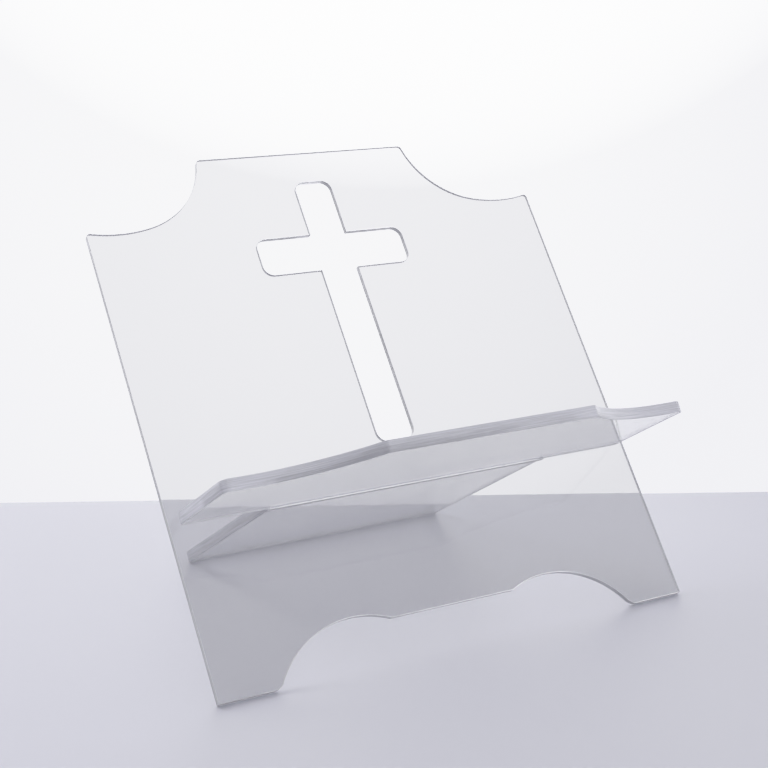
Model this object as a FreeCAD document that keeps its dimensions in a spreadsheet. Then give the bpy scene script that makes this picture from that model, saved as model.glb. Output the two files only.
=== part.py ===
import FreeCAD, Part
import math
import os

import Sketcher

# Bible stand: two pieces cut from clear acrylic sheet, which lock together without any fastener.
#
#   back_panel     a tall sheet that leans back on two feet. It has scooped shoulders, an arched foot
#                  line, a cross cut through it, and a slot across its lower third.
#   shelf_and_leg  one flat plate. Its wide front part is the shelf that the book rests on, and its
#                  narrower rear part goes through the slot and down to the table as the leg.
#
# Frame: +X to the right, +Y to the back, +Z up. The origin is on the table, under the middle of the
# stand's outline. Millimetres and degrees.
#
# Each piece is drawn flat. The panel's own frame has Z up the sheet and Y through it, from its front
# face at Y = 0. The plate's own frame has its lower face at Z = 0 and Y to the back, from the panel's
# front face at Y = 0. Each body's Placement then stands it up.

doc = FreeCAD.newDocument("bible_stand")

# ------------------------------------------------------------------ driving dimensions

DIMENSIONS = [
    ("panel_width", 355.6, "width of the back panel, 14 in"),
    ("panel_height", 381.0, "height of the back panel along the sheet, 15 in"),
    ("panel_thickness", 4.0, "sheet thickness of the back panel"),
    ("panel_lean", 39.3, "lean of the back panel from the vertical"),
    ("scoop_x", 154.1, "lowest point of a shoulder scoop, from the centre line"),
    ("scoop_height", 327.6, "lowest point of a shoulder scoop, up the sheet"),
    ("scoop_shallow_radius", 102.0, "radius of the scoop's outer, shallow stretch"),
    ("scoop_steep_radius", 62.4, "radius of the scoop's inner, steep stretch"),
    ("scoop_join_angle", 13.2, "turn of the shallow stretch before the steep one starts"),
    ("shoulder_radius", 2.5, "rounding of the shoulder's outer corner"),
    ("top_radius", 3.5, "rounding of the panel's top corners"),
    ("arch_height", 28.5, "height of the straight middle of the foot arch"),
    ("arch_round_radius", 69.0, "radius of the raised round at each end of the arch"),
    ("arch_round_x", 75.3, "centre of that round, from the centre line"),
    ("arch_round_drop", 34.5, "centre of that round, below the feet"),
    ("foot_radius", 8.0, "rounding of a foot's inner corner"),
    ("cross_bottom", 148.8, "lower end of the cross, up the sheet"),
    ("cross_top", 356.0, "upper end of the cross, up the sheet"),
    ("cross_arm_height", 298.2, "middle of the cross's arms, up the sheet"),
    ("cross_span", 116.6, "width over the cross's arms"),
    ("cross_stroke", 28.7, "width of the cross's stem and of its arms"),
    ("cross_radius", 7.5, "rounding of the ends of the stem and arms"),
    ("plate_thickness", 8.0, "thickness of the shelf and leg plate"),
    ("plate_height", 116.0, "where the plate's lower face meets the panel's front, up the sheet"),
    ("plate_tilt", 7.7, "how far the plate droops at the front from square to the panel"),
    ("shelf_width", 342.0, "width of the shelf"),
    ("shelf_depth", 122.5, "depth of the shelf at its middle, from the panel's front"),
    ("shelf_scoop_radius", 112.0, "radius of the scoop in each front corner of the shelf"),
    ("shelf_scoop_x", 157.0, "centre of that scoop, from the centre line"),
    ("shelf_scoop_reach", 200.0, "centre of that scoop, forward of the panel's front"),
    ("shelf_corner_radius", 5.5, "rounding of the shelf's four outer corners"),
    ("shelf_nose_radius", 3.5, "rounding where the shelf's middle meets a scoop"),
    ("leg_width", 214.0, "width of the rear leg"),
    ("leg_corner_radius", 1.5, "rounding of the leg's rear corners"),
    ("slot_end_gap", 0.5, "room between the leg and each end of the slot"),
    ("running_gap", 0.1, "room between the plate and the edges it bears on"),
]

dimensions = doc.addObject("Spreadsheet::Sheet", "Dimensions")
for row, (alias, value, meaning) in enumerate(DIMENSIONS, start=1):
    dimensions.set(f"A{row}", meaning)
    dimensions.set(f"B{row}", str(value))
    dimensions.setAlias(f"B{row}", alias)
doc.recompute()


def dim(alias):
    return float(dimensions.get(alias))


# ------------------------------------------------------------------ worked out from them

# Formulas for the expression engine, where "<alias>" stands for a cell of the sheet.
SLOT_BOTTOM = "<plate_height> - <running_gap>"
SLOT_HEIGHT = (
    "<plate_thickness> / cos(<plate_tilt> * 1 deg)"
    " + <panel_thickness> * tan(<plate_tilt> * 1 deg) + 2 * <running_gap>"
)
INCLINE = "(<panel_lean> - <plate_tilt>)"
# The table line through the panel's rear bottom edge is Y = 0 for the next four.
SIN_LEAN, COS_LEAN = "sin(<panel_lean> * 1 deg)", "cos(<panel_lean> * 1 deg)"
MEETING_Y = f"(<plate_height> * {SIN_LEAN} - <panel_thickness> * {COS_LEAN})"
MEETING_Z = f"(<plate_height> * {COS_LEAN} + <panel_thickness> * {SIN_LEAN})"
FOREMOST_Y = f"({MEETING_Y} - <shelf_depth> * cos({INCLINE} * 1 deg))"
REARMOST_Y = f"(<panel_height> * {SIN_LEAN})"
TABLE_LINE_Y = f"(-({FOREMOST_Y} + {REARMOST_Y}) / 2)"
LEG_REACH = f"({MEETING_Z} / sin({INCLINE} * 1 deg))"


def formula(text):
    return text.replace("<", "Dimensions.").replace(">", "")


# ------------------------------------------------------------------ sketch and feature helpers

ORIGIN = (-1, 1)
X_AXIS, Y_AXIS = -1, -2
START, END, CENTRE = 1, 2, 3
POKE = 5.0  # how far a cutting profile runs past the edge it cuts


def origin_plane(body, role):
    return next(f for f in body.Origin.OriginFeatures if f.Role == role)


def new_body(label):
    body = doc.addObject("PartDesign::Body", label)
    body.Label = label
    return body


def new_sketch(body, name, role):
    sketch = body.newObject("Sketcher::SketchObject", name)
    sketch.AttachmentSupport = [(origin_plane(body, role), "")]
    sketch.MapMode = "FlatFace"
    return sketch


def constrain(sketch, kind, *where, to=None, start_value=None):
    """Adds one constraint, and binds its value to a formula where it has one."""
    if to is None:
        return sketch.addConstraint(Sketcher.Constraint(kind, *where))
    index = sketch.addConstraint(Sketcher.Constraint(kind, *where, start_value))
    sketch.setExpression(f"Constraints[{index}]", formula(to))
    return index


def add_rectangle(sketch, width, low, high, low_formula, high_formula, width_formula):
    """A rectangle centred on the sketch's vertical axis, between two levels."""
    corners = [(-width / 2, low), (width / 2, low), (width / 2, high), (-width / 2, high)]
    points = [FreeCAD.Vector(x, y, 0) for x, y in corners]
    lines = [sketch.addGeometry(Part.LineSegment(points[i], points[(i + 1) % 4])) for i in range(4)]
    for i in range(4):
        constrain(sketch, "Coincident", lines[i], END, lines[(i + 1) % 4], START)
    bottom, right, top, left = lines
    constrain(sketch, "Symmetric", bottom, START, bottom, END, Y_AXIS)
    constrain(sketch, "Vertical", right)
    constrain(sketch, "Vertical", left)
    constrain(sketch, "Horizontal", top)
    constrain(sketch, "DistanceX", bottom, START, bottom, END, to=width_formula, start_value=width)
    for line, level, level_formula in ((bottom, low, low_formula), (top, high, high_formula)):
        if level_formula is None:
            constrain(sketch, "PointOnObject", line, START, X_AXIS)
        elif level > 0:
            constrain(sketch, "DistanceY", *ORIGIN, line, START, to=level_formula, start_value=level)
        else:
            constrain(sketch, "DistanceY", line, START, *ORIGIN, to=level_formula, start_value=-level)


def add_circle(sketch, x, y, radius, x_formula, depth_formula, radius_formula):
    """A circle right of the vertical axis, with its centre below the horizontal one."""
    disc = sketch.addGeometry(Part.Circle(FreeCAD.Vector(x, y, 0), FreeCAD.Vector(0, 0, 1), radius))
    constrain(sketch, "Radius", disc, to=radius_formula, start_value=radius)
    constrain(sketch, "DistanceX", *ORIGIN, disc, CENTRE, to=x_formula, start_value=x)
    constrain(sketch, "DistanceY", disc, CENTRE, *ORIGIN, to=depth_formula, start_value=-y)


def pad(body, name, sketch, thickness_formula, reverse):
    feature = body.newObject("PartDesign::Pad", name)
    feature.Profile = sketch
    feature.Reversed = reverse
    feature.setExpression("Length", formula(thickness_formula))
    doc.recompute()
    return feature


def cut_through(body, name, sketch, thickness_formula, reverse, mirror=False):
    """Cuts the profile through the sheet, and its mirror image too if asked. Fails if nothing goes."""
    before = body.Shape.Volume
    feature = body.newObject("PartDesign::Pocket", name)
    feature.Profile = sketch
    feature.Reversed = reverse
    feature.setExpression("Length", formula(thickness_formula))
    doc.recompute()
    one_side = before - body.Shape.Volume
    if one_side < 1:
        raise RuntimeError(f"{name} cut nothing")
    if mirror:
        pattern = body.newObject("PartDesign::Mirrored", name + "_mirrored")
        pattern.Originals = [feature]
        pattern.MirrorPlane = (origin_plane(body, "YZ_Plane"), [""])
        body.Tip = pattern
        doc.recompute()
        if abs(before - body.Shape.Volume - 2 * one_side) > 0.01 * one_side:
            raise RuntimeError(f"{name} was not mirrored")
        feature = pattern
    return feature


def round_corners(body, name, places, across, radius_alias):
    """Rounds the edges that run through the sheet at these places, in the piece's own frame.

    across is the direction through the sheet: 1 for Y, as in the panel, and 2 for Z, as in the plate.
    """
    base = body.Tip
    flat = 3 - across  # the other axis of the sheet's face, beside X
    names = []
    for x, level in places:
        for index, edge in enumerate(base.Shape.Edges, start=1):
            ends = [vertex.Point for vertex in edge.Vertexes]
            if len(ends) == 2 and all(math.hypot(p[0] - x, p[flat] - level) < 0.05 for p in ends):
                names.append(f"Edge{index}")
    if len(names) != len(places):
        raise RuntimeError(f"{name} found {len(names)} corners of {len(places)}")
    feature = body.newObject("PartDesign::Fillet", name)
    feature.Base = (base, names)
    feature.setExpression("Radius", formula(f"<{radius_alias}>"))
    doc.recompute()
    return feature


def both_sides(places):
    return [(side * x, level) for x, level in places for side in (-1, 1)]


def stand_up(body, angle, y, z):
    """Turns a flat piece about X by minus the angle, and moves its origin to this Y and Z."""
    body.Placement = FreeCAD.Placement(
        FreeCAD.Vector(0, 1, 1), FreeCAD.Rotation(FreeCAD.Vector(1, 0, 0), -1)
    )
    body.setExpression("Placement.Rotation.Angle", formula(f"-({angle}) * 1 deg"))
    body.setExpression("Placement.Base.y", formula(y))
    body.setExpression("Placement.Base.z", formula(z))


# ------------------------------------------------------------------ the back panel


def scoop_geometry():
    """Centres of the scoop's two tangent arcs, and the two ends of its outline."""
    turn = math.radians(dim("scoop_join_angle"))
    shallow, steep = dim("scoop_shallow_radius"), dim("scoop_steep_radius")
    shallow_centre = (dim("scoop_x"), dim("scoop_height") + shallow)
    steep_centre = (
        shallow_centre[0] - (shallow - steep) * math.sin(turn),
        shallow_centre[1] - (shallow - steep) * math.cos(turn),
    )
    return turn, shallow_centre, steep_centre


def draw_scoop(sketch):
    """The waste above one shoulder: a shallow arc, a steep arc tangent to it, and two straight lines."""
    turn, shallow_centre, steep_centre = scoop_geometry()
    shallow, steep = dim("scoop_shallow_radius"), dim("scoop_steep_radius")
    outside = dim("panel_width") / 2 + POKE
    normal = FreeCAD.Vector(0, 0, 1)
    join = 1.5 * math.pi - turn
    outer_end = 1.5 * math.pi + math.asin((outside - shallow_centre[0]) / shallow)
    shallow_circle = Part.Circle(FreeCAD.Vector(*shallow_centre, 0), normal, shallow)
    steep_circle = Part.Circle(FreeCAD.Vector(*steep_centre, 0), normal, steep)
    shallow_arc = sketch.addGeometry(Part.ArcOfCircle(shallow_circle, join, outer_end))
    steep_arc = sketch.addGeometry(Part.ArcOfCircle(steep_circle, math.pi, join))
    inner_top = FreeCAD.Vector(steep_centre[0] - steep, steep_centre[1], 0)
    outer_top = FreeCAD.Vector(outside, steep_centre[1], 0)
    outer_low = shallow_circle.value(outer_end)
    roof = sketch.addGeometry(Part.LineSegment(inner_top, outer_top))
    side = sketch.addGeometry(Part.LineSegment(outer_top, outer_low))

    constrain(sketch, "Tangent", shallow_arc, START, steep_arc, END)
    constrain(sketch, "Coincident", steep_arc, START, roof, START)
    constrain(sketch, "Coincident", roof, END, side, START)
    constrain(sketch, "Coincident", side, END, shallow_arc, END)
    constrain(sketch, "Horizontal", roof)
    constrain(sketch, "Vertical", side)
    constrain(sketch, "Horizontal", steep_arc, CENTRE, steep_arc, START)
    constrain(sketch, "Radius", shallow_arc, to="<scoop_shallow_radius>", start_value=shallow)
    constrain(sketch, "Radius", steep_arc, to="<scoop_steep_radius>", start_value=steep)
    constrain(
        sketch, "DistanceX", *ORIGIN, shallow_arc, CENTRE, to="<scoop_x>", start_value=shallow_centre[0]
    )
    constrain(
        sketch, "DistanceY", *ORIGIN, shallow_arc, CENTRE,
        to="<scoop_height> + <scoop_shallow_radius>", start_value=shallow_centre[1],
    )
    constrain(
        sketch, "DistanceX", shallow_arc, START, shallow_arc, CENTRE,
        to="<scoop_shallow_radius> * sin(<scoop_join_angle> * 1 deg)",
        start_value=shallow * math.sin(turn),
    )
    constrain(
        sketch, "DistanceX", *ORIGIN, side, START,
        to=f"<panel_width> / 2 + {POKE}", start_value=outside,
    )


def shoulder_point():
    """Where the scoop's shallow arc meets the panel's side."""
    _, centre, _ = scoop_geometry()
    side = dim("panel_width") / 2
    return side, centre[1] - math.sqrt(dim("scoop_shallow_radius") ** 2 - (side - centre[0]) ** 2)


def top_point():
    """Where the scoop's steep arc meets the panel's top edge."""
    _, _, centre = scoop_geometry()
    top = dim("panel_height")
    return centre[0] - math.sqrt(dim("scoop_steep_radius") ** 2 - (top - centre[1]) ** 2), top


def foot_point():
    """Where the arch's round meets the line of the feet."""
    half_chord = math.sqrt(dim("arch_round_radius") ** 2 - dim("arch_round_drop") ** 2)
    return dim("arch_round_x") + half_chord, 0


def make_back_panel():
    body = new_body("back_panel")
    through = "<panel_thickness>"

    outline = new_sketch(body, "panel_outline", "XZ_Plane")
    add_rectangle(
        outline, dim("panel_width"), 0, dim("panel_height"), None, "<panel_height>", "<panel_width>"
    )
    pad(body, "panel_sheet", outline, through, reverse=True)

    scoop = new_sketch(body, "scoop_outline", "XZ_Plane")
    draw_scoop(scoop)
    cut_through(body, "shoulder_scoop", scoop, through, reverse=False, mirror=True)

    arch_end = new_sketch(body, "arch_end_outline", "XZ_Plane")
    add_circle(
        arch_end, dim("arch_round_x"), -dim("arch_round_drop"), dim("arch_round_radius"),
        "<arch_round_x>", "<arch_round_drop>", "<arch_round_radius>",
    )
    cut_through(body, "arch_end", arch_end, through, reverse=False, mirror=True)

    arch_middle = new_sketch(body, "arch_middle_outline", "XZ_Plane")
    add_rectangle(
        arch_middle, 2 * dim("arch_round_x"), 0, dim("arch_height"),
        None, "<arch_height>", "2 * <arch_round_x>",
    )
    cut_through(body, "arch_middle", arch_middle, through, reverse=False)

    stem = new_sketch(body, "cross_stem_outline", "XZ_Plane")
    add_rectangle(
        stem, dim("cross_stroke"), dim("cross_bottom"), dim("cross_top"),
        "<cross_bottom>", "<cross_top>", "<cross_stroke>",
    )
    cut_through(body, "cross_stem", stem, through, reverse=False)

    half_stroke = dim("cross_stroke") / 2
    arms_low, arms_high = dim("cross_arm_height") - half_stroke, dim("cross_arm_height") + half_stroke
    arms = new_sketch(body, "cross_arms_outline", "XZ_Plane")
    add_rectangle(
        arms, dim("cross_span"), arms_low, arms_high,
        "<cross_arm_height> - <cross_stroke> / 2",
        "<cross_arm_height> + <cross_stroke> / 2",
        "<cross_span>",
    )
    cut_through(body, "cross_arms", arms, through, reverse=False)

    slot_low = dim("plate_height") - dim("running_gap")
    slot_high = slot_low + dim("plate_thickness")
    slot = new_sketch(body, "slot_outline", "XZ_Plane")
    add_rectangle(
        slot, dim("leg_width") + 2 * dim("slot_end_gap"), slot_low, slot_high,
        SLOT_BOTTOM, f"{SLOT_BOTTOM} + {SLOT_HEIGHT}", "<leg_width> + 2 * <slot_end_gap>",
    )
    cut_through(body, "plate_slot", slot, through, reverse=False)

    cross_ends = both_sides([
        (half_stroke, dim("cross_bottom")),
        (half_stroke, dim("cross_top")),
        (dim("cross_span") / 2, arms_low),
        (dim("cross_span") / 2, arms_high),
    ])
    round_corners(body, "cross_corners", cross_ends, 1, "cross_radius")
    round_corners(body, "shoulder_corners", both_sides([shoulder_point()]), 1, "shoulder_radius")
    round_corners(body, "top_corners", both_sides([top_point()]), 1, "top_radius")
    round_corners(body, "foot_corners", both_sides([foot_point()]), 1, "foot_radius")

    stand_up(
        body, "<panel_lean>",
        f"{TABLE_LINE_Y} - <panel_thickness> * {COS_LEAN}",
        f"<panel_thickness> * {SIN_LEAN}",
    )
    return body


# ------------------------------------------------------------------ the shelf and leg plate


def leg_reach():
    """Length of the leg behind the panel's front face, so that its lower rear edge is on the table."""
    lean, tilt = math.radians(dim("panel_lean")), math.radians(dim("plate_tilt"))
    height = dim("plate_height") * math.cos(lean) + dim("panel_thickness") * math.sin(lean)
    return height / math.sin(lean - tilt)


def make_shelf_and_leg():
    body = new_body("shelf_and_leg")
    through = "<plate_thickness>"
    depth, gap = dim("shelf_depth"), dim("running_gap")

    shelf = new_sketch(body, "shelf_outline", "XY_Plane")
    add_rectangle(
        shelf, dim("shelf_width"), -depth, -gap, "<shelf_depth>", "<running_gap>", "<shelf_width>"
    )
    pad(body, "shelf", shelf, through, reverse=False)

    leg = new_sketch(body, "leg_outline", "XY_Plane")
    add_rectangle(
        leg, dim("leg_width"), -depth / 2, leg_reach(), "<shelf_depth> / 2", LEG_REACH, "<leg_width>"
    )
    pad(body, "leg", leg, through, reverse=False)

    scoop = new_sketch(body, "shelf_scoop_outline", "XY_Plane")
    add_circle(
        scoop, dim("shelf_scoop_x"), -dim("shelf_scoop_reach"), dim("shelf_scoop_radius"),
        "<shelf_scoop_x>", "<shelf_scoop_reach>", "<shelf_scoop_radius>",
    )
    cut_through(body, "shelf_scoop", scoop, through, reverse=True, mirror=True)

    side = dim("shelf_width") / 2
    radius, scoop_x, reach = dim("shelf_scoop_radius"), dim("shelf_scoop_x"), dim("shelf_scoop_reach")
    side_front = -(reach - math.sqrt(radius**2 - (side - scoop_x) ** 2))
    nose_x = scoop_x - math.sqrt(radius**2 - (reach - depth) ** 2)
    outer = both_sides([(side, side_front), (side, -gap)])
    round_corners(body, "shelf_corners", outer, 2, "shelf_corner_radius")
    round_corners(body, "shelf_nose", both_sides([(nose_x, -depth)]), 2, "shelf_nose_radius")
    rear = both_sides([(dim("leg_width") / 2, leg_reach())])
    round_corners(body, "leg_corners", rear, 2, "leg_corner_radius")

    stand_up(body, INCLINE, f"{TABLE_LINE_Y} + {MEETING_Y}", MEETING_Z)
    return body


# ------------------------------------------------------------------ build, check and write

pieces = [make_back_panel(), make_shelf_and_leg()]
doc.recompute()

for item in doc.Objects:
    if "Invalid" in item.State or "Error" in item.State:
        raise RuntimeError(f"{item.Name} failed: {item.State}")
for piece in pieces:
    if piece.Shape.isNull() or not piece.Shape.isValid() or len(piece.Shape.Solids) != 1:
        raise RuntimeError(f"{piece.Label} is not one valid solid")

os.makedirs("parts", exist_ok=True)
for piece in pieces:
    piece.Shape.exportStep(f"parts/{piece.Label}.step")
    box = piece.Shape.BoundBox
    print(
        f"{piece.Label}: {piece.Shape.Volume / 1000:.1f} cm3, X {box.XMin:.2f} to {box.XMax:.2f}, "
        f"Y {box.YMin:.2f} to {box.YMax:.2f}, Z {box.ZMin:.2f} to {box.ZMax:.2f}"
    )
print(f"overlap {pieces[0].Shape.common(pieces[1].Shape).Volume:.4f} mm3, leg reach {leg_reach():.2f} mm")
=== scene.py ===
import math

import bmesh
import bpy
from mathutils import Euler, Matrix, Vector


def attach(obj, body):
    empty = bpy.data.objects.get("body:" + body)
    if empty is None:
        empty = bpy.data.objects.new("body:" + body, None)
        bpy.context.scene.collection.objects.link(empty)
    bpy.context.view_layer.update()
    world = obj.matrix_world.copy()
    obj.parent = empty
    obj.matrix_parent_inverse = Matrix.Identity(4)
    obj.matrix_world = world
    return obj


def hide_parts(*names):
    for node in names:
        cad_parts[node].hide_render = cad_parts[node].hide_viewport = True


# Bible stand in clear acrylic: a back panel that leans on two feet, and one flat plate that is its
# shelf at the front and, through the slot, its leg at the back. Metres, in the CAD model's frame:
# +X to the right, +Y to the back, +Z up, with the table at Z = 0.

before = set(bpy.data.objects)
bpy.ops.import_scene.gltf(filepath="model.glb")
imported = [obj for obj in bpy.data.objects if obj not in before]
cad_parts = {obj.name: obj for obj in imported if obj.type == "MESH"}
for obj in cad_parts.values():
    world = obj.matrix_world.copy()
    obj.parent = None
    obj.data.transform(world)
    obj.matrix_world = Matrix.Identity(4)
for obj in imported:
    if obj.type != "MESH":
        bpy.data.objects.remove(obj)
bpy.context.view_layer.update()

MM = 0.001

# ------------------------------------------------------------------ sizes, in millimetres

PANEL_WIDTH, PANEL_HEIGHT, PANEL_THICKNESS = 355.6, 381.0, 4.0
SCOOP_LOW = Vector((154.1, 327.6))  # lowest point of a shoulder scoop
SCOOP_SHALLOW_RADIUS, SCOOP_STEEP_RADIUS = 102.0, 62.4
SCOOP_JOIN_ANGLE = math.radians(13.2)
SHOULDER_RADIUS, TOP_RADIUS = 2.5, 3.5
ARCH_HEIGHT = 28.5
ARCH_ROUND_CENTRE, ARCH_ROUND_RADIUS = Vector((75.3, -34.5)), 69.0
FOOT_RADIUS = 8.0
CROSS_BOTTOM, CROSS_TOP, CROSS_ARM_HEIGHT = 148.8, 356.0, 298.2
CROSS_SPAN, CROSS_STROKE, CROSS_RADIUS = 116.6, 28.7, 7.5

PLATE_THICKNESS = 8.0
SHELF_WIDTH, SHELF_DEPTH = 342.0, 122.5
SHELF_SCOOP_CENTRE, SHELF_SCOOP_RADIUS = Vector((157.0, -200.0)), 112.0
SHELF_CORNER_RADIUS, SHELF_NOSE_RADIUS = 5.5, 3.5
LEG_WIDTH, LEG_CORNER_RADIUS = 214.0, 1.5
SLOT_END_GAP, RUNNING_GAP = 0.5, 0.1

# How the two stand: the panel's lean from the vertical, the plate's incline from the level, and
# where the plate's lower face meets the panel's front, up the sheet.
LEAN = math.radians(39.3)
TILT = math.radians(7.7)
INCLINE = LEAN - TILT
PLATE_HEIGHT = 116.0

# From the table line through the panel's rear bottom edge to that meeting line, and the leg's reach.
MEETING_Y = PLATE_HEIGHT * math.sin(LEAN) - PANEL_THICKNESS * math.cos(LEAN)
MEETING_Z = PLATE_HEIGHT * math.cos(LEAN) + PANEL_THICKNESS * math.sin(LEAN)
LEG_REACH = MEETING_Z / math.sin(INCLINE)
FOREMOST_Y = MEETING_Y - SHELF_DEPTH * math.cos(INCLINE)
REARMOST_Y = PANEL_HEIGHT * math.sin(LEAN)
TABLE_LINE_Y = -(FOREMOST_Y + REARMOST_Y) / 2

SLOT_BOTTOM = PLATE_HEIGHT - RUNNING_GAP
SLOT_HEIGHT = PLATE_THICKNESS / math.cos(TILT) + PANEL_THICKNESS * math.tan(TILT) + 2 * RUNNING_GAP
SLOT_HALF = LEG_WIDTH / 2 + SLOT_END_GAP

ARRIS = 0.35  # rounding of every cut edge
FLATNESS = 0.004  # furthest that a sampled arc strays from the true one
CREASE = math.radians(24)  # a wall turning by more than this at one edge has a crease there

# ------------------------------------------------------------------ flat outlines


def arc(centre, start, end):
    """Points of the shorter arc round a centre, from one point on it to another."""
    first, last = Vector(start) - centre, Vector(end) - centre
    turn = first.angle_signed(last)
    steps = max(3, math.ceil(abs(turn) / (2 * math.acos(1 - FLATNESS / first.length))))
    return [centre + Matrix.Rotation(-turn * i / steps, 2) @ first for i in range(steps + 1)]


def fillet_centre(scoop, scoop_radius, radius, x=None, y=None, toward=1):
    """Centre of a fillet that touches a scoop's arc, where its x or its y is known."""
    reach = scoop_radius + radius
    if x is None:
        return Vector((scoop.x + toward * math.sqrt(reach**2 - (y - scoop.y) ** 2), y))
    return Vector((x, scoop.y + toward * math.sqrt(reach**2 - (x - scoop.x) ** 2)))


def on_arc(scoop, scoop_radius, point):
    """The point of a scoop's arc that lies towards another point."""
    return scoop + (Vector(point) - scoop).normalized() * scoop_radius


def corner(x, y, radius, from_side, to_side):
    """The arc that rounds a square corner, between its two neighbours' directions."""
    from_side, to_side = Vector(from_side), Vector(to_side)
    centre = Vector((x, y)) + (from_side + to_side) * radius
    return arc(centre, centre - to_side * radius, centre - from_side * radius)


def both_halves(right):
    """A closed outline from its right half, which runs from the centre line back to it."""
    left = [Vector((-p.x, p.y)) for p in reversed(right)]
    return tidy_loop(right + left)


def tidy_loop(points):
    """The same closed outline without its doubled points."""
    return [p for i, p in enumerate(points) if (p - points[i - 1]).length > 1e-4]


def foot_arch():
    """From the middle of the arch, over its raised round, to the foot's inner corner."""
    centre, radius = ARCH_ROUND_CENTRE, ARCH_ROUND_RADIUS
    rise = ARCH_HEIGHT - centre.y
    start = centre + Vector((-math.sqrt(radius**2 - rise**2), rise))
    foot = fillet_centre(centre, radius, FOOT_RADIUS, y=FOOT_RADIUS)
    foot_top = on_arc(centre, radius, foot)
    return (
        [Vector((0, ARCH_HEIGHT))]
        + arc(centre, start, foot_top)
        + arc(foot, foot_top, foot - Vector((0, FOOT_RADIUS)))
    )


def shoulder_scoop():
    """From the panel's side, along the shallow and then the steep stretch, to its top edge."""
    outer, inner = SCOOP_SHALLOW_RADIUS, SCOOP_STEEP_RADIUS
    shallow = SCOOP_LOW + Vector((0, outer))
    join = shallow - outer * Vector((math.sin(SCOOP_JOIN_ANGLE), math.cos(SCOOP_JOIN_ANGLE)))
    steep = join + (shallow - join) * (inner / outer)
    side = PANEL_WIDTH / 2 - SHOULDER_RADIUS
    shoulder = fillet_centre(shallow, outer, SHOULDER_RADIUS, x=side, toward=-1)
    shoulder_top = on_arc(shallow, outer, shoulder)
    top = fillet_centre(steep, inner, TOP_RADIUS, y=PANEL_HEIGHT - TOP_RADIUS, toward=-1)
    top_low = on_arc(steep, inner, top)
    return (
        arc(shoulder, shoulder + Vector((SHOULDER_RADIUS, 0)), shoulder_top)
        + arc(shallow, shoulder_top, join)
        + arc(steep, join, top_low)
        + arc(top, top_low, top + Vector((0, TOP_RADIUS)))
    )


def panel_outline():
    """The panel's closed outline, from its right half."""
    corner_of_foot, top_middle = Vector((PANEL_WIDTH / 2, 0)), Vector((0, PANEL_HEIGHT))
    return both_halves(foot_arch() + [corner_of_foot] + shoulder_scoop() + [top_middle])


def cross_outline():
    stem, arm = CROSS_STROKE / 2, CROSS_SPAN / 2
    low, high = CROSS_ARM_HEIGHT - stem, CROSS_ARM_HEIGHT + stem
    left, right, down, up = (-1, 0), (1, 0), (0, -1), (0, 1)
    return both_halves(
        corner(stem, CROSS_BOTTOM, CROSS_RADIUS, left, up)
        + [Vector((stem, low))]
        + corner(arm, low, CROSS_RADIUS, left, up)
        + corner(arm, high, CROSS_RADIUS, down, left)
        + [Vector((stem, high))]
        + corner(stem, CROSS_TOP, CROSS_RADIUS, down, left)
    )


def slot_outline():
    ends = (SLOT_BOTTOM, SLOT_BOTTOM + SLOT_HEIGHT)
    return both_halves([Vector((SLOT_HALF, height)) for height in ends])


def plate_outline():
    half, leg = SHELF_WIDTH / 2, LEG_WIDTH / 2
    scoop, radius = SHELF_SCOOP_CENTRE, SHELF_SCOOP_RADIUS
    nose = fillet_centre(scoop, radius, SHELF_NOSE_RADIUS, y=SHELF_NOSE_RADIUS - SHELF_DEPTH, toward=-1)
    nose_end = on_arc(scoop, radius, nose)
    front = fillet_centre(scoop, radius, SHELF_CORNER_RADIUS, x=half - SHELF_CORNER_RADIUS)
    front_start = on_arc(scoop, radius, front)
    return both_halves(
        [Vector((0, -SHELF_DEPTH))]
        + arc(nose, nose - Vector((0, SHELF_NOSE_RADIUS)), nose_end)
        + arc(scoop, nose_end, front_start)
        + arc(front, front_start, front + Vector((SHELF_CORNER_RADIUS, 0)))
        + corner(half, -RUNNING_GAP, SHELF_CORNER_RADIUS, (0, -1), (-1, 0))
        + [Vector((leg, -RUNNING_GAP))]
        + corner(leg, LEG_REACH, LEG_CORNER_RADIUS, (0, -1), (-1, 0))
        + [Vector((0, LEG_REACH))]
    )


# ------------------------------------------------------------------ sheets with broken edges


def inset(loop, distance):
    """The outline moved into the material, which lies to its left."""
    moved = []
    for i, point in enumerate(loop):
        into = (point - loop[i - 1]).normalized()
        out = (loop[(i + 1) % len(loop)] - point).normalized()
        normals = Vector((-into.y, into.x)) + Vector((-out.y, out.x))
        moved.append(point + normals * (2 * distance / normals.length_squared))
    return moved


def signed_area(loop):
    return sum(loop[i - 1].x * p.y - p.x * loop[i - 1].y for i, p in enumerate(loop)) / 2


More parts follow.
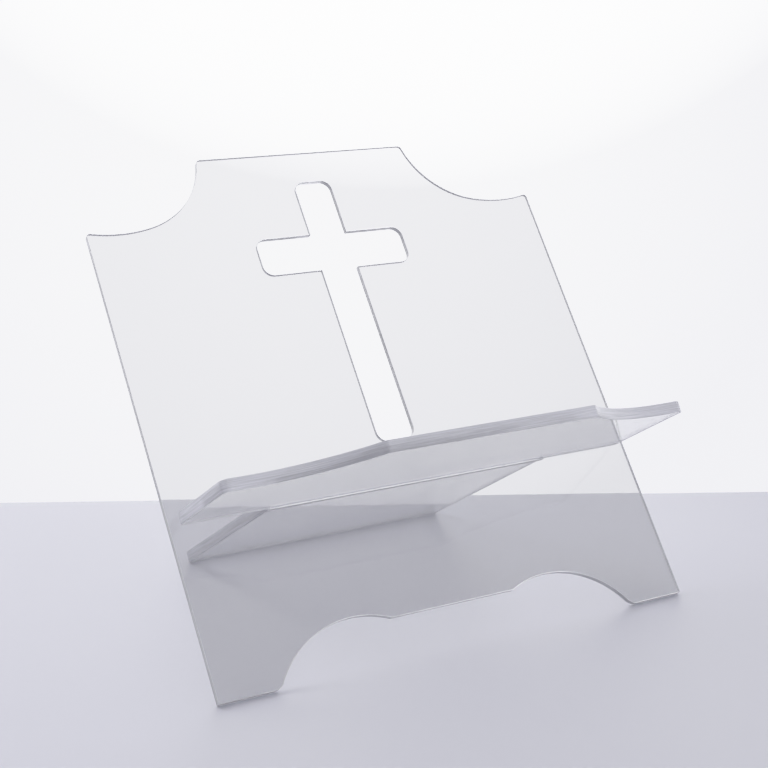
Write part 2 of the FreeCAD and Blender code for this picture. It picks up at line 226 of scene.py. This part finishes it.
def cut_sheet(name, outer, holes, thickness, arris=ARRIS, rounds=3):
    """A sheet lying flat from z = 0 up, with finely rounded edges. Its face attribute cut_edge is 1 on
    the walls that were cut and 0 on the two sheet faces."""
    loops = [outer if signed_area(outer) > 0 else outer[::-1]]
    loops += [hole if signed_area(hole) < 0 else hole[::-1] for hole in holes]
    turns = [math.pi / 2 * i / rounds for i in range(rounds + 1)]
    rings = [(arris * (1 - math.sin(t)), arris * (1 - math.cos(t))) for t in turns]
    rings += [(depth, thickness - height) for depth, height in reversed(rings)]

    bm = bmesh.new()
    edge_mark = bm.faces.layers.float.new("cut_edge")
    bottom, top = [], []
    for loop in loops:
        rows = []
        for depth, height in rings:
            places = [(p.x * MM, p.y * MM, height * MM) for p in inset(loop, depth)]
            rows.append([bm.verts.new(place) for place in places])
        for below, above in zip(rows, rows[1:]):
            for i in range(len(loop)):
                face = bm.faces.new((below[i - 1], below[i], above[i], above[i - 1]))
                face[edge_mark] = 1.0
                face.smooth = True
        bottom.append(rows[0])
        top.append(rows[-1])
    for rows in (bottom, top):
        sides = [(row[i - 1], row[i]) for row in rows for i in range(len(row))]
        rim = [bm.edges.get(ends) for ends in sides]
        for edge in rim:
            edge.smooth = False
        bmesh.ops.triangle_fill(bm, use_beauty=True, use_dissolve=False, edges=rim)
    bmesh.ops.recalc_face_normals(bm, faces=bm.faces)
    for edge in bm.edges:
        if len(edge.link_faces) == 2 and edge.calc_face_angle() > CREASE:
            edge.smooth = False
    mesh = bpy.data.meshes.new(name)
    bm.to_mesh(mesh)
    bm.free()
    sheet = bpy.data.objects.new(name, mesh)
    bpy.context.scene.collection.objects.link(sheet)
    return sheet


# ------------------------------------------------------------------ materials

ACRYLIC_IOR = 1.49
# The panel reads greyer than the plate, though both are clear sheet.
PANEL_CLEAR, PANEL_CLOUDY = (0.705, 0.705, 0.71), (0.69, 0.69, 0.70)
PLATE_CLEAR, PLATE_CLOUDY = (0.98, 0.98, 0.98), (0.955, 0.955, 0.96)
PANEL_EDGE, PLATE_EDGE = (0.82, 0.82, 0.84), (0.82, 0.82, 0.86)
EDGE_LINE = 0.86  # a polishing line's tone, as a share of the edge's
EDGE_FROSTING, FROSTING_SPREAD = 0.70, 0.12  # share of a cut edge that scatters light, and its range
LET_THROUGH = (0.94, 0.94, 0.945)  # of a lamp's light, at each surface
TABLE_LOW, TABLE_HIGH = (0.55, 0.55, 0.60), (0.575, 0.575, 0.625)

# How fine each pattern is, in features per metre. Where there are three, along the sheet's own axes.
HAZE_FINENESS, WAVES_FINENESS = 9.0, 16.0
WIPES_FINENESS, LINES_FINENESS, RIPPLE_FINENESS = (14, 90, 90), (25, 25, 1700), (900, 900, 60)
CLOUD_FINENESS, GRAIN_FINENESS = 3.5, 420.0

# How strongly each pattern tips the surface, and how deep it is in metres.
WAVES_RELIEF, GROOVES_RELIEF, GRAIN_RELIEF = (0.012, 0.004), (0.35, 0.0003), (0.04, 0.0003)


class Nodes:
    """Adds shader nodes to one node tree and links them."""

    def __init__(self, tree):
        self.tree = tree

    def add(self, kind, inputs=(), **settings):
        node = self.tree.nodes.new(kind)
        for key, value in settings.items():
            setattr(node, key, value)
        for socket, value in dict(inputs).items():
            if isinstance(value, bpy.types.NodeSocket):
                self.tree.links.new(value, node.inputs[socket])
            else:
                node.inputs[socket].default_value = value
        return node

    def math(self, operation, *values):
        return self.add("ShaderNodeMath", enumerate(values), operation=operation).outputs[0]

    def noise(self, vector, scale, detail=3.0, roughness=0.5):
        inputs = {"Vector": vector, "Scale": scale, "Detail": detail, "Roughness": roughness}
        return self.add("ShaderNodeTexNoise", inputs).outputs["Fac"]

    def stretched(self, vector, scale):
        return self.add("ShaderNodeMapping", {"Vector": vector, "Scale": scale}).outputs["Vector"]

    def between(self, value, low, high, from_low=0.0, from_high=1.0):
        inputs = {0: value, 1: from_low, 2: from_high, 3: low, 4: high}
        return self.add("ShaderNodeMapRange", inputs).outputs["Result"]

    def bump(self, height, relief, below=None):
        inputs = {"Height": height, "Strength": relief[0], "Distance": relief[1]}
        if below is not None:
            inputs["Normal"] = below
        return self.add("ShaderNodeBump", inputs).outputs["Normal"]

    def tint(self, factor, first, second):
        inputs = {0: factor}
        for socket, colour in ((6, first), (7, second)):
            plain = not isinstance(colour, bpy.types.NodeSocket)
            inputs[socket] = (*colour, 1) if plain else colour
        return self.add("ShaderNodeMix", inputs, data_type="RGBA").outputs[2]


def new_material(name):
    material = bpy.data.materials.new(name)
    material.use_nodes = True
    material.node_tree.nodes.clear()
    return material, Nodes(material.node_tree)


def clear_acrylic(name, clear, cloudy, edge_tone):
    """Clear sheet: glossy faces with faint waviness and handling haze, and cut edges that catch the
    light, with fine polishing lines along them. Lamps shine through its faces but not its edges."""
    material, n = new_material(name)
    place = n.add("ShaderNodeTexCoord").outputs["Object"]
    edge = n.add("ShaderNodeAttribute", attribute_name="cut_edge").outputs["Fac"]

    haze = n.noise(place, HAZE_FINENESS, detail=4.0, roughness=0.6)
    wipes = n.noise(n.stretched(place, WIPES_FINENESS), 1.0)
    lines = n.noise(n.stretched(place, LINES_FINENESS), 1.0, detail=4.0, roughness=0.65)
    ripple = n.noise(n.stretched(place, RIPPLE_FINENESS), 1.0, detail=2.0)
    waves = n.noise(place, WAVES_FINENESS, detail=1.0)

    line_tone = [EDGE_LINE * c for c in edge_tone]
    streak = n.tint(n.between(lines, 0.0, 1.0, 0.3, 0.7), line_tone, edge_tone)
    colour = n.tint(edge, n.tint(haze, clear, cloudy), streak)
    face_rough = n.between(n.math("MULTIPLY", haze, wipes), 0.0, 0.045, 0.15, 0.5)
    edge_rough = n.between(lines, 0.08, 0.25, 0.3, 0.75)
    rough = n.add("ShaderNodeMix", {0: edge, 2: face_rough, 3: edge_rough}).outputs[0]
    least, most = EDGE_FROSTING - FROSTING_SPREAD, EDGE_FROSTING + FROSTING_SPREAD
    frosting = n.between(lines, least, most, 0.3, 0.7)
    clarity = n.math("SUBTRACT", 1.0, n.math("MULTIPLY", edge, frosting))
    grooves = n.math("ADD", n.math("MULTIPLY", lines, 0.7), n.math("MULTIPLY", ripple, 0.3))
    wavy = n.bump(waves, WAVES_RELIEF)
    normal = n.bump(n.math("MULTIPLY", grooves, edge), GROOVES_RELIEF, below=wavy)

    looks = {
        "Base Color": colour,
        "Roughness": rough,
        "IOR": ACRYLIC_IOR,
        "Transmission Weight": clarity,
        "Normal": normal,
    }
    shader = n.add("ShaderNodeBsdfPrincipled", looks).outputs[0]
    rays = n.add("ShaderNodeLightPath").outputs
    lighting = n.math("MAXIMUM", rays["Is Shadow Ray"], rays["Is Diffuse Ray"])
    on_face = n.math("MULTIPLY", lighting, n.math("SUBTRACT", 1.0, edge))
    let_through = n.add("ShaderNodeBsdfTransparent", {"Color": (*LET_THROUGH, 1)}).outputs[0]
    both = n.add("ShaderNodeMixShader", {0: on_face, 1: shader, 2: let_through}).outputs[0]
    n.add("ShaderNodeOutputMaterial", {"Surface": both})
    return material


def tabletop_paint(name):
    """Smooth pale lilac-grey tabletop."""
    material, n = new_material(name)
    place = n.add("ShaderNodeTexCoord").outputs["Object"]
    cloud = n.noise(place, CLOUD_FINENESS, detail=4.0)
    grain = n.noise(place, GRAIN_FINENESS, detail=2.0)
    tone = n.math("ADD", n.math("MULTIPLY", cloud, 0.9), n.math("MULTIPLY", grain, 0.1))
    looks = {
        "Base Color": n.tint(tone, TABLE_LOW, TABLE_HIGH),
        "Roughness": n.between(cloud, 0.5, 0.65),
        "Specular IOR Level": 0.35,
        "Normal": n.bump(grain, GRAIN_RELIEF),
    }
    shader = n.add("ShaderNodeBsdfPrincipled", looks).outputs[0]
    n.add("ShaderNodeOutputMaterial", {"Surface": shader})
    return material


# ------------------------------------------------------------------ the two pieces


def stand(sheet, turn, offset):
    """Turns a flat sheet about the X axis and puts its origin at a place, in millimetres."""
    sheet.matrix_world = Matrix.Translation(Vector(offset) * MM) @ Matrix.Rotation(turn, 4, "X")


panel = cut_sheet("panel_sheet", panel_outline(), [cross_outline(), slot_outline()], PANEL_THICKNESS)
# Drawn with the sheet's height along Y. Its z = 0 face is the rear one, and stands at the table line.
stand(panel, math.pi / 2 - LEAN, (0, TABLE_LINE_Y, 0))

plate = cut_sheet("shelf_plate", plate_outline(), [], PLATE_THICKNESS)
stand(plate, -INCLINE, (0, TABLE_LINE_Y + MEETING_Y, MEETING_Z))

for piece, body, node, tones in (
    (panel, "panel", "back_panel", (PANEL_CLEAR, PANEL_CLOUDY, PANEL_EDGE)),
    (plate, "plate", "shelf_and_leg", (PLATE_CLEAR, PLATE_CLOUDY, PLATE_EDGE)),
):
    piece.data.materials.append(clear_acrylic(f"{piece.name}_acrylic", *tones))
    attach(piece, body)
    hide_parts(node)

# ------------------------------------------------------------------ table, light and camera

TABLE_TURN = math.radians(-26.2)  # the way its rear edge runs, from +X
TABLE_REAR = 195.5  # from the origin to that edge
TABLE_WIDTH, TABLE_DEPTH, TABLE_THICKNESS = 16000.0, 9000.0, 30.0
TABLE_ARRIS = 2.0

side, front = TABLE_WIDTH / 2, TABLE_REAR - TABLE_DEPTH
corners = ((-side, front), (side, front), (side, TABLE_REAR), (-side, TABLE_REAR))
table_outline = [Vector(place) for place in corners]
table = cut_sheet("tabletop", table_outline, [], TABLE_THICKNESS, TABLE_ARRIS, rounds=6)
table_turn = Matrix.Rotation(TABLE_TURN, 4, "Z")
table.matrix_world = Matrix.Translation((0, 0, -TABLE_THICKNESS * MM)) @ table_turn
table.data.materials.append(tabletop_paint("tabletop_paint"))

# Camera: at the photograph's viewing angle.
CAMERA_PLACE = Vector((-0.51007, -0.91412, 0.45376))
CAMERA_AZIMUTH, CAMERA_DOWN = math.radians(28.948), math.radians(15.987)
CAMERA_ROLL = math.radians(0.113)
CAMERA_LENS, SENSOR_WIDTH = 73.98, 36.0

camera_data = bpy.data.cameras.new("camera")
camera_data.sensor_width = SENSOR_WIDTH
camera_data.lens = CAMERA_LENS
camera_data.clip_start, camera_data.clip_end = 0.05, 50.0
camera = bpy.data.objects.new("camera", camera_data)
bpy.context.scene.collection.objects.link(camera)
aim = Euler((math.pi / 2 - CAMERA_DOWN, 0, -CAMERA_AZIMUTH)).to_matrix().to_4x4()
roll = Matrix.Rotation(CAMERA_ROLL, 4, "Z")
camera.matrix_world = Matrix.Translation(CAMERA_PLACE) @ aim @ roll
bpy.context.scene.camera = camera

# Studio: a soft white surround, brightest in a patch behind the stand, dimmer overhead and to its left.
world = bpy.data.worlds.new("studio")
world.use_nodes = True
world.node_tree.nodes.clear()
bpy.context.scene.world = world
w = Nodes(world.node_tree)
direction = w.add("ShaderNodeTexCoord").outputs["Generated"]


def toward(azimuth, elevation):
    """Unit vector, with azimuth from +Y to +X, in degrees."""
    a, e = math.radians(azimuth), math.radians(elevation)
    return (math.sin(a) * math.cos(e), math.cos(a) * math.cos(e), math.sin(e))


def lobe(azimuth, elevation, inner, outer):
    """1 within the inner angle of a direction and 0 outside the outer one, in degrees."""
    ends = {0: direction, 1: toward(azimuth, elevation)}
    facing = w.add("ShaderNodeVectorMath", ends, operation="DOT_PRODUCT")
    low, high = math.cos(math.radians(outer)), math.cos(math.radians(inner))
    return w.between(facing.outputs["Value"], 0.0, 1.0, low, high)


BACKDROP, FRONT_SIDE, OVERHEAD = (1.17, 1.17, 1.21), (0.42, 0.42, 0.45), (0.78, 0.78, 0.81)
BEHIND, ABOVE = (1.5, 1.5, 1.52), (7.0, 7.0, 7.0)
surround = BACKDROP
for colour, azimuth, elevation, inner, outer in (
    (OVERHEAD, 0, 90, 20, 75),
    (FRONT_SIDE, 252, 5, 25, 88),
    (BEHIND, 26, -4, 4, 19),
    (ABOVE, 29, 12, 4, 21),
):
    surround = w.tint(lobe(azimuth, elevation, inner, outer), surround, colour)
sky = w.add("ShaderNodeBackground", {"Color": surround, "Strength": 1.0})
w.add("ShaderNodeOutputWorld", {"Surface": sky.outputs[0]})


def soft_light(name, place, target, size, power):
    """A square area light at a place, turned towards its target, in metres and watts."""
    data = bpy.data.lights.new(name, "AREA")
    data.shape = "SQUARE"
    data.size = size
    data.energy = power
    light = bpy.data.objects.new(name, data)
    bpy.context.scene.collection.objects.link(light)
    place, target = Vector(place), Vector(target)
    turn = (target - place).to_track_quat("-Z", "Y").to_matrix().to_4x4()
    light.matrix_world = Matrix.Translation(place) @ turn


SOFTBOX_PLACE, SOFTBOX_TARGET = (-0.75, 1.15, 1.15), (-0.1, 0, 0.05)
SOFTBOX_SIZE, SOFTBOX_POWER = 0.8, 11.0
soft_light("rear_softbox", SOFTBOX_PLACE, SOFTBOX_TARGET, SOFTBOX_SIZE, SOFTBOX_POWER)

bpy.context.scene.view_settings.view_transform = "Khronos PBR Neutral"
